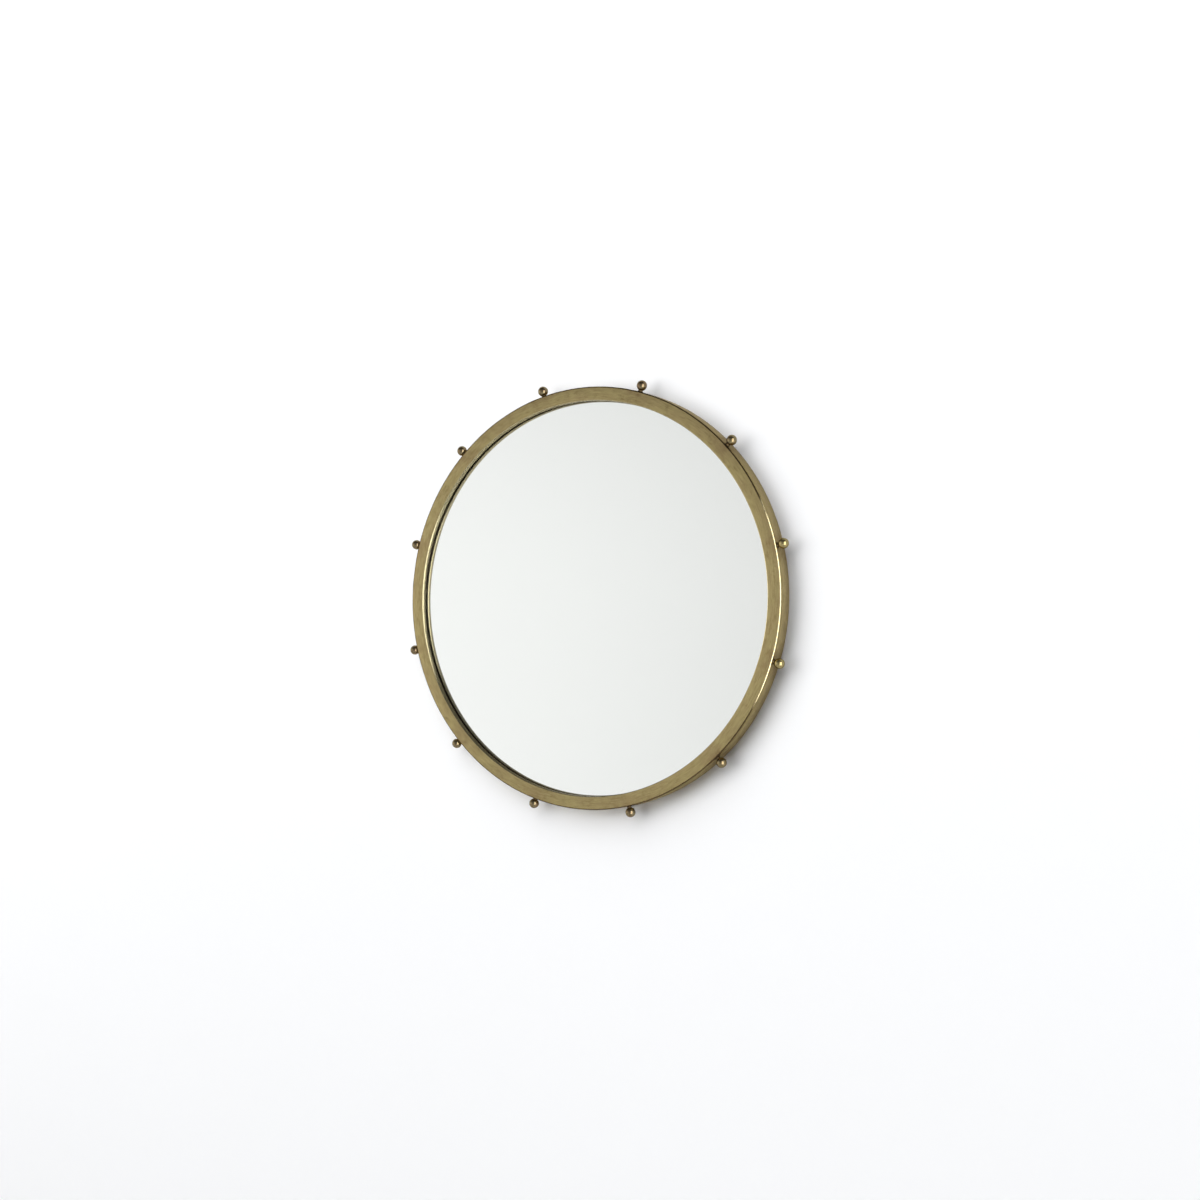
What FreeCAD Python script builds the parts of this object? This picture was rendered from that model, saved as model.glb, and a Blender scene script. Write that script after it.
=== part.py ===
import FreeCAD, Part

import math
import os
import Sketcher

# Round wall mirror with ball beads standing around its metal frame.
# Frame of the part: +Z up, the wall is the plane y = 0, the mirror looks along -Y,
# and the origin is the centre of the round frame on the wall.
# Left and right are as seen from the front, with +X to the right.

DOCUMENT = FreeCAD.newDocument("BeadedMirror")
BEAD_COUNT = 12
TAB_COUNT = 8
FULL_TURN = 360
BEAD_STEP = FULL_TURN / BEAD_COUNT
FIRST_BEAD = BEAD_STEP / 2

# Angles clockwise from the top: where the glass edge is held, midway between two beads,
# and where the bumpers are
SPACER_ANGLES = {"upper_right": 30, "lower_right": 150, "lower_left": 210, "upper_left": 330}
BUMPER_ANGLES = {"top": 0, "right": 90, "bottom": 180, "left": 270}

# Driving dimensions in millimetres: name, value, what it is.
SIZES = [
    # Frame: one channel of sheet metal, rolled into a ring
    ("frame_outer_radius", 314.5, "outside of the frame's outer wall"),
    ("frame_depth", 31.0, "front face to rear edge of the outer wall"),
    ("face_width", 20.4, "width of the flat front face"),
    ("sheet_thickness", 1.5, "thickness of the frame's sheet"),
    ("lip_depth", 7.6, "front face to the rear end of the inner lip"),
    ("outer_edge_round", 1.6, "rounding between front face and outer wall"),
    ("inner_edge_round", 1.2, "rounding between front face and inner lip"),
    ("wall_standoff", 0.8, "gap from the frame's rear edge to the wall"),
    ("contact_clearance", 0.3, "play between curved pieces that sit together"),
    ("cut_overrun", 1.0, "how far a cut runs past the solid"),
    # Beads on the outer wall
    ("bead_radius", 7.5, "radius of a ball bead"),
    ("bead_setback", 7.5, "front face to the bead's centre"),
    ("collar_radius", 3.3, "radius of the collar under a bead"),
    ("collar_height", 2.3, "outer wall to the bead's flat seat"),
    ("bead_screw_radius", 2.0, "shank of the screw in a bead"),
    ("bead_screw_length", 10.0, "length of that screw under its head"),
    ("bead_screw_head_radius", 3.8, "head of that screw"),
    ("bead_screw_head_height", 2.4, "height of that head"),
    ("bead_bore_spare", 0.8, "full bore of a bead past the screw's end"),
    ("thread_clearance", 0.05, "play between a screw and its threaded hole"),
    ("screw_hole_clearance", 0.2, "play between a screw and its plain hole"),
    ("bead_seat_chamfer", 0.35, "countersink at the mouth of a bead's bore"),
    # Mirror and what it is set in
    ("gasket_thickness", 1.2, "black foam tape between lip and glass"),
    ("gasket_width", 9.0, "width of that tape"),
    ("gasket_setback", 0.2, "the lip's inner face to the tape"),
    ("glass_thickness", 4.0, "thickness of the mirror glass"),
    ("glass_edge_space", 5.0, "glass edge to the outer wall"),
    ("glass_arris", 0.5, "ground chamfer around the glass"),
    ("silver_thickness", 0.3, "silvering with its backing paint"),
    ("silver_setback", 0.8, "glass edge to the edge of the silvering"),
    ("spacer_length", 22.0, "length of an edge spacer around the glass"),
    ("spacer_depth", 3.4, "depth of an edge spacer"),
    # Backing board and the tabs that hold it
    ("board_thickness", 9.0, "thickness of the fibreboard"),
    ("board_edge_space", 1.5, "board edge to the outer wall"),
    ("board_chamfer", 0.8, "broken edge of the board"),
    ("tab_thickness", 1.2, "sheet of a retaining tab"),
    ("tab_width", 14.0, "width of a retaining tab"),
    ("tab_reach", 17.0, "outer wall to the inner end of a tab"),
    ("tab_rise", 6.0, "length of the leg on the outer wall"),
    ("tab_hole_reach", 10.0, "outer wall to the tab's screw hole"),
    ("tab_corner_round", 2.5, "rounded corners of a tab"),
    # Small screws into the board
    ("wood_screw_radius", 1.75, "shank of the screws in the board"),
    ("wood_screw_head_radius", 3.4, "head of those screws"),
    ("wood_screw_head_height", 2.0, "height of a pan head"),
    ("wood_screw_head_round", 0.8, "rounding of a pan head"),
    ("wood_screw_point", 2.2, "length of the pointed end"),
    ("wood_screw_cover", 1.8, "screw point to the front of the board"),
    ("pilot_hole_cover", 1.0, "end of a pilot hole to the front of the board"),
    ("drive_slot_width", 0.9, "width of a cross recess's arms"),
    ("drive_slot_length", 3.8, "length of a cross recess's arms"),
    ("drive_slot_depth", 1.1, "depth of a cross recess"),
    # Hangers: strap folded double around the straight bar of a D ring
    ("hanger_spacing", 300.0, "distance between the two hangers"),
    ("hanger_height", 150.0, "ring pivots above the mirror's centre"),
    ("strap_sheet", 1.0, "sheet of the folded strap"),
    ("strap_width", 14.0, "width of the strap"),
    ("strap_length", 44.0, "ring pivot to the strap's lower end"),
    ("strap_end_round", 4.0, "rounded corners of the strap's end"),
    ("strap_first_hole", 9.0, "ring pivot to the first screw"),
    ("strap_hole_spacing", 26.0, "distance between the strap's two screws"),
    ("ring_wire_radius", 1.5, "wire of the D ring"),
    ("ring_width", 25.0, "width of the D ring between wire centres"),
    ("ring_height", 19.5, "straight bar to the far end of the bow"),
    ("ring_corner_radius", 3.2, "corners of the D ring"),
    ("ring_running_clearance", 0.08, "play of the ring's bar in its loop"),
    ("ring_rest_clearance", 0.35, "hanging ring to the strap"),
    # Rubber bumpers between board and wall
    ("bumper_edge_space", 36.0, "bumper's base to the outer wall"),
    ("bumper_base_radius", 9.0, "bumper where it sits on the board"),
    ("bumper_face_radius", 7.5, "bumper where it meets the wall"),
    ("bumper_recess_radius", 4.4, "recess for the bumper's screw head"),
    ("bumper_edge_round", 0.8, "rounded edge at the wall"),
]
# Web under the screw head as a share of the bumper's height
BUMPER_WEB_SHARE = 0.4

SHEET = DOCUMENT.addObject("Spreadsheet::Sheet", "Sizes")
for row, (alias, value, meaning) in enumerate(SIZES, start=1):
    SHEET.set("A%d" % row, meaning)
    SHEET.set("B%d" % row, str(value))
    SHEET.setAlias("B%d" % row, alias)
DOCUMENT.recompute()

# Planes across the part, from the front to the wall
FRONT_FACE = "(-Sizes.wall_standoff - Sizes.frame_depth)"
REAR_EDGE = "(-Sizes.wall_standoff)"
LIP_END = FRONT_FACE + " + Sizes.lip_depth"
GLASS_FRONT = LIP_END + " + Sizes.gasket_thickness"
GLASS_BACK = GLASS_FRONT + " + Sizes.glass_thickness"
BOARD_FRONT = GLASS_BACK + " + Sizes.silver_thickness"
BOARD_BACK = BOARD_FRONT + " + Sizes.board_thickness"
BEAD_PLANE = FRONT_FACE + " + Sizes.bead_setback"
SCREW_POINT = BOARD_FRONT + " + Sizes.wood_screw_cover"
PILOT_END = BOARD_FRONT + " + Sizes.pilot_hole_cover"

# Radii about the mirror's centre line
WALL_INSIDE = "(Sizes.frame_outer_radius - Sizes.sheet_thickness)"
LIP_INSIDE = "(Sizes.frame_outer_radius - Sizes.face_width)"
LIP_OUTSIDE = "(" + LIP_INSIDE + " + Sizes.sheet_thickness)"
GASKET_INSIDE = "(" + LIP_INSIDE + " + Sizes.gasket_setback)"
GLASS_RADIUS = "(" + WALL_INSIDE + " - Sizes.glass_edge_space)"
BOARD_RADIUS = "(" + WALL_INSIDE + " - Sizes.board_edge_space)"
BEAD_SEAT = "(Sizes.frame_outer_radius + Sizes.collar_height)"
BEAD_FLAT = "sqrt(Sizes.bead_radius ^ 2 - Sizes.collar_radius ^ 2)"
BEAD_CENTRE = "(" + BEAD_SEAT + " + " + BEAD_FLAT + ")"
HEAD_SEAT = "sqrt(" + WALL_INSIDE + " ^ 2 - Sizes.bead_screw_head_radius ^ 2)"
SCREW_END = "(" + HEAD_SEAT + " + Sizes.bead_screw_length)"

# Heights above the board, used by the hangers
STRAP_TOP = "2 * Sizes.strap_sheet"
LOOP_INSIDE = "(Sizes.ring_wire_radius + Sizes.ring_running_clearance)"
LOOP_OUTSIDE = "(" + LOOP_INSIDE + " + Sizes.strap_sheet)"

# Bumpers: the circle that they sit on and the plane under their screw heads
BUMPER_CIRCLE = "(" + WALL_INSIDE + " - Sizes.bumper_edge_space - Sizes.bumper_base_radius)"
BUMPER_WEB = "(" + BOARD_BACK + ") * (1 - %g)" % BUMPER_WEB_SHARE


def value(expression):
    """The number that an expression in the sheet's names stands for."""
    found = SHEET.evalExpression(expression)
    return float(getattr(found, "Value", found))


def new_body(label, several=False):
    """A body of its own, which may hold several equal solids."""
    body = DOCUMENT.addObject("PartDesign::Body", label)
    body.Label = label
    body.AllowCompound = several
    return body


def origin_feature(body, role):
    """A plane or axis of the body's own origin."""
    return [item for item in body.Origin.OriginFeatures if item.Role == role][0]


def new_sketch(body, name, role, **offsets):
    """An empty sketch on an origin plane, moved by offsets in its own x, y and z."""
    sketch = body.newObject("Sketcher::SketchObject", name)
    sketch.AttachmentSupport = [(origin_feature(body, role), "")]
    sketch.MapMode = "FlatFace"
    for direction, expression in offsets.items():
        sketch.setExpression(".AttachmentOffset.Base." + direction, expression)
    return sketch


def pin_point(sketch, geometry, end, place):
    """Hold a point of the sketch at a place given by two expressions."""
    for kind, expression in zip(("DistanceX", "DistanceY"), place):
        rule = Sketcher.Constraint(kind, -1, 1, geometry, end, value(expression))
        index = sketch.addConstraint(rule)
        sketch.setExpression("Constraints[%d]" % index, expression)


def pin_radius(sketch, geometry, expression):
    """Hold a circle's or an arc's radius."""
    index = sketch.addConstraint(Sketcher.Constraint("Radius", geometry, value(expression)))
    sketch.setExpression("Constraints[%d]" % index, expression)


def draw_outline(sketch, corners, arcs=None, closed=True):
    """Draw straight edges through the corners.

    arcs maps an edge's number to the centre and radius that make it round; such an edge
    turns through less than half a circle.
    """
    arcs = arcs or {}
    places = [FreeCAD.Vector(value(across), value(along), 0) for across, along in corners]
    edge_count = len(corners) if closed else len(corners) - 1
    ends = []
    for number in range(edge_count):
        start = places[number]
        finish = places[(number + 1) % len(places)]
        if number not in arcs:
            sketch.addGeometry(Part.LineSegment(start, finish), False)
            ends.append((1, 2))
            continue
        centre_across, centre_along, radius = arcs[number]
        centre = FreeCAD.Vector(value(centre_across), value(centre_along), 0)
        circle = Part.Circle(centre, FreeCAD.Vector(0, 0, 1), value(radius))
        first, last = [math.atan2(p.y - centre.y, p.x - centre.x) for p in (start, finish)]
        if (last - first) % math.tau < math.pi:
            ends.append((1, 2))
        else:
            first, last = last, first
            ends.append((2, 1))
        sketch.addGeometry(Part.ArcOfCircle(circle, first, first + (last - first) % math.tau), False)
    for number in range(edge_count):
        if closed or number + 1 < edge_count:
            following = (number + 1) % edge_count
            meeting = (number, ends[number][1], following, ends[following][0])
            sketch.addConstraint(Sketcher.Constraint("Coincident", *meeting))
        pin_point(sketch, number, ends[number][0], corners[number])
    if not closed:
        pin_point(sketch, edge_count - 1, ends[-1][1], corners[-1])
    for number, (_, _, radius) in arcs.items():
        pin_radius(sketch, number, radius)


def draw_circle(sketch, across, along, radius):
    """Draw one circle at a place given by expressions."""
    centre = FreeCAD.Vector(value(across), value(along), 0)
    circle = Part.Circle(centre, FreeCAD.Vector(0, 0, 1), value(radius))
    geometry = sketch.addGeometry(circle, False)
    pin_point(sketch, geometry, 3, (across, along))
    pin_radius(sketch, geometry, radius)


def turn(body, kind, sketch, axis, angle=None):
    """Revolve or groove a sketch about its own H_Axis or V_Axis."""
    feature = body.newObject("PartDesign::" + kind, kind)
    feature.Profile = sketch
    feature.ReferenceAxis = (sketch, [axis])
    feature.Angle = FULL_TURN
    if angle:
        feature.Midplane = True
        feature.setExpression("Angle", angle)
    sketch.Visibility = False
    return feature


def extrude(body, kind, sketch, length, reverse=False, both_ways=False):
    """Pad or pocket a sketch by a length."""
    feature = body.newObject("PartDesign::" + kind, kind)
    feature.Profile = sketch
    feature.setExpression("Length", length)
    feature.Reversed = reverse
    feature.Midplane = both_ways
    return feature


def repeat_around(body, features, count):
    """Repeat features evenly about the mirror's centre line."""
    pattern = body.newObject("PartDesign::PolarPattern", "Around")
    pattern.Originals = features
    pattern.Axis = (origin_feature(body, "Y_Axis"), [""])
    pattern.Angle = FULL_TURN
    pattern.Occurrences = count
    body.Tip = pattern
    return pattern


def round_edges(body, feature, radius, wanted):
    """Fillet the edges of a feature for which wanted(edge) is true."""
    DOCUMENT.recompute()
    names = ["Edge%d" % (n + 1) for n, edge in enumerate(feature.Shape.Edges) if wanted(edge)]
    fillet = body.newObject("PartDesign::Fillet", "Fillet")
    fillet.Base = (feature, names)
    fillet.setExpression("Radius", radius)
    return fillet


def same_length(found, expression):
    """Whether a measured length is what an expression says."""
    return math.isclose(found, value(expression), abs_tol=Part.Precision.confusion())


def is_hoop(edge, radius, plane):
    """Whether an edge is the circle of this radius about the centre line in this plane."""
    curve = edge.Curve
    if not isinstance(curve, Part.Circle):
        return False
    return same_length(curve.Radius, radius) and same_length(curve.Center.y, plane)


def is_straight(edge, length):
    """Whether an edge is straight and this long."""
    return isinstance(edge.Curve, Part.Line) and same_length(edge.Length, length)


def arc_angle(length, radius):
    """Angle in degrees of an arc of this length at this radius."""
    return length + " / " + radius + " * 180 / pi"


def turn_to(body, clock_angle):
    """Turn a body that lies along +X to an angle clockwise from the top, seen from the front."""
    quarter = FULL_TURN / 4
    body.Placement = FreeCAD.Placement(
        FreeCAD.Vector(0, 0, 0), FreeCAD.Rotation(FreeCAD.Vector(0, 1, 0), clock_angle - quarter)
    )


def make_frame_ring():
    """Channel open to the rear: outer wall, flat front face and short inner lip."""
    body = new_body("frame_ring")
    face_back = FRONT_FACE + " + Sizes.sheet_thickness"
    section = new_sketch(body, "Section", "XY_Plane")
    draw_outline(
        section,
        [
            ("Sizes.frame_outer_radius", FRONT_FACE),
            ("Sizes.frame_outer_radius", REAR_EDGE),
            (WALL_INSIDE, REAR_EDGE),
            (WALL_INSIDE, face_back),
            (LIP_OUTSIDE, face_back),
            (LIP_OUTSIDE, LIP_END),
            (LIP_INSIDE, LIP_END),
            (LIP_INSIDE, FRONT_FACE),
        ],
    )
    ring = turn(body, "Revolution", section, "V_Axis")
    outer = round_edges(
        body, ring, "Sizes.outer_edge_round", lambda e: is_hoop(e, "Sizes.frame_outer_radius", FRONT_FACE)
    )
    round_edges(body, outer, "Sizes.inner_edge_round", lambda e: is_hoop(e, LIP_INSIDE, FRONT_FACE))
    hole = new_sketch(body, "BeadHole", "YZ_Plane", x=BEAD_PLANE, z=WALL_INSIDE + " - Sizes.cut_overrun")
    draw_circle(hole, "0", "0", "Sizes.bead_screw_radius + Sizes.screw_hole_clearance")
    pocket = extrude(body, "Pocket", hole, "Sizes.sheet_thickness + 2 * Sizes.cut_overrun", reverse=True)
    repeat_around(body, [pocket], BEAD_COUNT)
    turn_to(body, FIRST_BEAD)


def make_bead(number):
    """Ball with a flat seat and a blind threaded bore towards the frame."""
    body = new_body("bead_%02d" % (number + 1))
    bore = "(Sizes.bead_screw_radius + Sizes.thread_clearance)"
    mouth = "(" + bore + " + Sizes.bead_seat_chamfer)"
    section = new_sketch(body, "Section", "XY_Plane", y=BEAD_PLANE)
    draw_outline(
        section,
        [
            (BEAD_CENTRE + " + Sizes.bead_radius", "0"),
            (SCREW_END + " + Sizes.bead_bore_spare + " + bore, "0"),
            (SCREW_END + " + Sizes.bead_bore_spare", bore),
            (BEAD_SEAT + " + Sizes.bead_seat_chamfer", bore),
            (BEAD_SEAT, mouth),
            (BEAD_SEAT, "Sizes.collar_radius"),
        ],
        arcs={5: (BEAD_CENTRE, "0", "Sizes.bead_radius")},
    )
    turn(body, "Revolution", section, "H_Axis")
    turn_to(body, FIRST_BEAD + number * BEAD_STEP)


def make_bead_collars():
    """Short tubes that hold the beads off the outer wall."""
    body = new_body("bead_collars", several=True)
    section = new_sketch(body, "Section", "XY_Plane", y=BEAD_PLANE)
    hole = "Sizes.bead_screw_radius + Sizes.screw_hole_clearance"
    draw_outline(
        section,
        [
            ("Sizes.frame_outer_radius", hole),
            (BEAD_SEAT, hole),
            (BEAD_SEAT, "Sizes.collar_radius"),
            ("Sizes.frame_outer_radius", "Sizes.collar_radius"),
        ],
    )
    collar = turn(body, "Revolution", section, "H_Axis")
    repeat_around(body, [collar], BEAD_COUNT)
    turn_to(body, FIRST_BEAD)


def make_bead_screws():
    """Screws from inside the channel, through wall and collar into each bead."""
    body = new_body("bead_screws", several=True)
    section = new_sketch(body, "Section", "XY_Plane", y=BEAD_PLANE)
    head_top = HEAD_SEAT + " - Sizes.bead_screw_head_height"
    draw_outline(
        section,
        [
            (head_top, "0"),
            (SCREW_END, "0"),
            (SCREW_END, "Sizes.bead_screw_radius"),
            (HEAD_SEAT, "Sizes.bead_screw_radius"),
            (HEAD_SEAT, "Sizes.bead_screw_head_radius"),
            (head_top, "Sizes.bead_screw_head_radius"),
        ],
    )
    screw = turn(body, "Revolution", section, "H_Axis")
    repeat_around(body, [screw], BEAD_COUNT)
    turn_to(body, FIRST_BEAD)


def make_glazing_gasket():
    """Flat ring of black foam tape between the lip and the glass."""
    body = new_body("glazing_gasket")
    outside = GASKET_INSIDE + " + Sizes.gasket_width"
    section = new_sketch(body, "Section", "XY_Plane")
    draw_outline(
        section,
        [(GASKET_INSIDE, LIP_END), (outside, LIP_END), (outside, GLASS_FRONT), (GASKET_INSIDE, GLASS_FRONT)],
    )
    turn(body, "Revolution", section, "V_Axis")


def make_disc(label, radius, front, back, front_chamfer="0", back_chamfer="0"):
    """Round pane about the centre line, with chamfered rims where asked."""
    body = new_body(label)
    corners = [("0", front), ("0", back)]
    for chamfer, plane, inward in ((back_chamfer, back, " - "), (front_chamfer, front, " + ")):
        if chamfer == "0":
            corners.append((radius, plane))
            continue
        on_plane = (radius + " - " + chamfer, plane)
        on_rim = (radius, plane + inward + chamfer)
        corners += [on_plane, on_rim] if plane == back else [on_rim, on_plane]
    section = new_sketch(body, "Section", "XY_Plane")
    draw_outline(section, corners)
    return body, turn(body, "Revolution", section, "V_Axis")


def make_edge_spacer(corner, clock_angle):
    """Rubber block between the glass edge and the outer wall."""
    body = new_body("edge_spacer_" + corner)
    middle = GLASS_FRONT + " + Sizes.glass_thickness / 2"
    half = "Sizes.spacer_depth / 2"
    inside = GLASS_RADIUS + " + Sizes.contact_clearance"
    outside = WALL_INSIDE + " - Sizes.contact_clearance"
    section = new_sketch(body, "Section", "XY_Plane", y=middle)
    draw_outline(
        section,
        [(inside, "-" + half), (outside, "-" + half), (outside, half), (inside, half)],
    )
    turn(body, "Revolution", section, "V_Axis", angle=arc_angle("Sizes.spacer_length", GLASS_RADIUS))
    turn_to(body, clock_angle)


def make_backing_board():
    """Fibreboard disc with pilot holes for the tab, hanger and bumper screws."""
    body, disc = make_disc(
        "backing_board", BOARD_RADIUS, BOARD_FRONT, BOARD_BACK, "Sizes.board_chamfer", "Sizes.board_chamfer"
    )
    depth = BOARD_BACK + " + Sizes.cut_overrun - (" + PILOT_END + ")"
    pilot = "Sizes.wood_screw_radius + Sizes.thread_clearance"
    above = "-(" + BOARD_BACK + " + Sizes.cut_overrun)"
    rings = ((WALL_INSIDE + " - Sizes.tab_hole_reach", TAB_COUNT), (BUMPER_CIRCLE, len(BUMPER_ANGLES)))
    for radius, count in rings:
        sketch = new_sketch(body, "PilotHole", "XZ_Plane", z=above)
        draw_circle(sketch, "0", radius, pilot)
        repeat_around(body, [extrude(body, "Pocket", sketch, depth, reverse=True)], count)
    hanger = new_sketch(body, "HangerPilots", "XZ_Plane", z=above)
    for side in ("-", ""):
        first = "Sizes.hanger_height - Sizes.strap_first_hole"
        for height in (first, first + " - Sizes.strap_hole_spacing"):
            draw_circle(hanger, side + "Sizes.hanger_spacing / 2", height, pilot)
    body.Tip = extrude(body, "Pocket", hanger, depth, reverse=True)


def make_retaining_tab(number):
    """Angle spot-welded inside the outer wall and bent over the back of the board."""
    body = new_body("retaining_tab_%d" % (number + 1))
    wall_face = "(" + WALL_INSIDE + " - Sizes.contact_clearance)"
    wall_leg = wall_face + " - Sizes.tab_thickness"
    inner_end = WALL_INSIDE + " - Sizes.tab_reach"
    board_leg = BOARD_BACK + " + Sizes.tab_thickness"
    leg_end = board_leg + " + Sizes.tab_rise"
    section = new_sketch(body, "Section", "XY_Plane")
    draw_outline(
        section,
        [
            (inner_end, BOARD_BACK),
            (wall_face, BOARD_BACK),
            (wall_face, leg_end),
            (wall_leg, leg_end),
            (wall_leg, board_leg),
            (inner_end, board_leg),
        ],
    )
    tab = turn(body, "Revolution", section, "V_Axis", angle=arc_angle("Sizes.tab_width", WALL_INSIDE))

    def at_inner_end(edge):
        middle = edge.CenterOfMass
        across_sheet = is_straight(edge, "Sizes.tab_thickness")
        return across_sheet and same_length(math.hypot(middle.x, middle.z), inner_end)

    round_edges(body, tab, "Sizes.tab_corner_round", at_inner_end)
    hole = new_sketch(body, "ScrewHole", "XZ_Plane", z="-(" + board_leg + " + Sizes.cut_overrun)")
    radius = "Sizes.wood_screw_radius + Sizes.screw_hole_clearance"
    draw_circle(hole, WALL_INSIDE + " - Sizes.tab_hole_reach", "0", radius)
    extrude(body, "Pocket", hole, "Sizes.tab_thickness + 2 * Sizes.cut_overrun", reverse=True)
    turn_to(body, number * FULL_TURN / TAB_COUNT)


def draw_cross(sketch, across):
    """Outline of a cross recess centred at a distance along the sketch's x."""
    wide = "Sizes.drive_slot_width / 2"
    long = "Sizes.drive_slot_length / 2"
    signs = ((1, 1), (-1, 1), (-1, -1), (1, -1))
    corners = []
    for number, (right, up) in enumerate(signs):
        inner = (wide, wide)
        ends = [(long, wide), inner, (wide, long)]
        if number % 2:
            ends.reverse()
        for x, y in ends:
            x_sign = " + " if right > 0 else " - "
            corners.append((across + x_sign + x, y if up > 0 else "-" + y))
    draw_outline(sketch, corners)


def make_wood_screw(body, seat, across="0", along="0", countersunk=False):
    """Pointed screw into the board, parallel to the centre line, with a cross recess in its head."""
    shank = "Sizes.wood_screw_radius"
    head = "Sizes.wood_screw_head_radius"
    corners = [
        ("0", SCREW_POINT),
        (shank, SCREW_POINT + " + Sizes.wood_screw_point"),
    ]
    arcs = {}
    if countersunk:
        head_top = seat
        corners += [(shank, seat + " - (" + head + " - " + shank + ")"), (head, seat)]
    else:
        head_top = seat + " + Sizes.wood_screw_head_height"
        rounding = "Sizes.wood_screw_head_round"
        corners += [
            (shank, seat),
            (head, seat),
            (head, head_top + " - " + rounding),
            (head + " - " + rounding, head_top),
        ]
        arcs = {4: (head + " - " + rounding, head_top + " - " + rounding, rounding)}
    corners.append(("0", head_top))
    section = new_sketch(body, "Section", "XY_Plane", x=across, z=along)
    draw_outline(section, corners, arcs)
    screw = turn(body, "Revolution", section, "V_Axis")
    above_head = "-(" + head_top + " + Sizes.cut_overrun)"
    cross = new_sketch(body, "Cross", "XZ_Plane", x=across, y=along, z=above_head)
    draw_cross(cross, "0")
    recess = extrude(body, "Pocket", cross, "Sizes.drive_slot_depth + Sizes.cut_overrun", reverse=True)
    return [screw, recess]


def make_tab_screws():
    """One screw through each retaining tab into the board."""
    body = new_body("tab_screws", several=True)
    seat = BOARD_BACK + " + Sizes.tab_thickness"
    screw = make_wood_screw(body, seat, across=WALL_INSIDE + " - Sizes.tab_hole_reach")
    repeat_around(body, screw, TAB_COUNT)


def place_hanger(body, side, beyond_board="0"):
    """Put a body at the pivot of the hanger on one side, at a distance behind the board."""
    body.setExpression(".Placement.Base.x", "%d * Sizes.hanger_spacing / 2" % side)
    body.setExpression(".Placement.Base.y", beyond_board)
    body.setExpression(".Placement.Base.z", "Sizes.hanger_height")


def repeat_down(body, features, spacing):
    """Repeat features once, straight below."""
    pattern = body.newObject("PartDesign::LinearPattern", "Below")
    pattern.Originals = features
    pattern.Direction = (origin_feature(body, "Z_Axis"), [""])
    pattern.Reversed = True
    pattern.Occurrences = 2
    pattern.setExpression("Length", spacing)
    body.Tip = pattern
    return pattern


def make_hanger_strap(name, side):
    """Strap folded double around the ring's bar, with two countersunk holes."""
    body = new_body("hanger_strap_" + name)
    loop_gap = "sqrt(" + LOOP_OUTSIDE + " ^ 2 - (" + STRAP_TOP + " - " + LOOP_OUTSIDE + ") ^ 2)"
    loop = (LOOP_OUTSIDE, "0", LOOP_OUTSIDE)
    section = new_sketch(body, "Section", "YZ_Plane")
    draw_outline(
        section,
        [
            ("0", "-Sizes.strap_length"),
            ("0", "0"),
            (LOOP_OUTSIDE, LOOP_OUTSIDE),
            ("2 * " + LOOP_OUTSIDE, "0"),
            (STRAP_TOP, "-" + loop_gap),
            (STRAP_TOP, "-Sizes.strap_length"),
        ],
        arcs={1: loop, 2: loop, 3: loop},
    )
    draw_circle(section, LOOP_OUTSIDE, "0", LOOP_INSIDE)
    strap = extrude(body, "Pad", section, "Sizes.strap_width", both_ways=True)

    def at_lower_end(edge):
        return is_straight(edge, STRAP_TOP) and same_length(edge.CenterOfMass.z, "-Sizes.strap_length")

    round_edges(body, strap, "Sizes.strap_end_round", at_lower_end)
    hole = "(Sizes.wood_screw_radius + Sizes.screw_hole_clearance)"
    mouth = "(Sizes.wood_screw_head_radius + Sizes.screw_hole_clearance)"
    cutter = new_sketch(body, "Countersink", "XY_Plane", z="-Sizes.strap_first_hole")
    draw_outline(
        cutter,
        [
            ("0", "-Sizes.cut_overrun"),
            (hole, "-Sizes.cut_overrun"),
            (hole, STRAP_TOP + " - (" + mouth + " - " + hole + ")"),
            (mouth, STRAP_TOP),
            (mouth, STRAP_TOP + " + Sizes.cut_overrun"),
            ("0", STRAP_TOP + " + Sizes.cut_overrun"),
        ],
    )
    groove = turn(body, "Groove", cutter, "V_Axis")
    repeat_down(body, [groove], "Sizes.strap_hole_spacing")
    place_hanger(body, side, BOARD_BACK)


def make_hanger_screws(name, side):
    """The two countersunk screws of one hanger strap."""
    body = new_body("hanger_screws_" + name, several=True)
    seat = BOARD_BACK + " + " + STRAP_TOP
    screw = make_wood_screw(body, seat, along="-Sizes.strap_first_hole", countersunk=True)
    repeat_down(body, screw, "Sizes.strap_hole_spacing")
    place_hanger(body, side)


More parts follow.
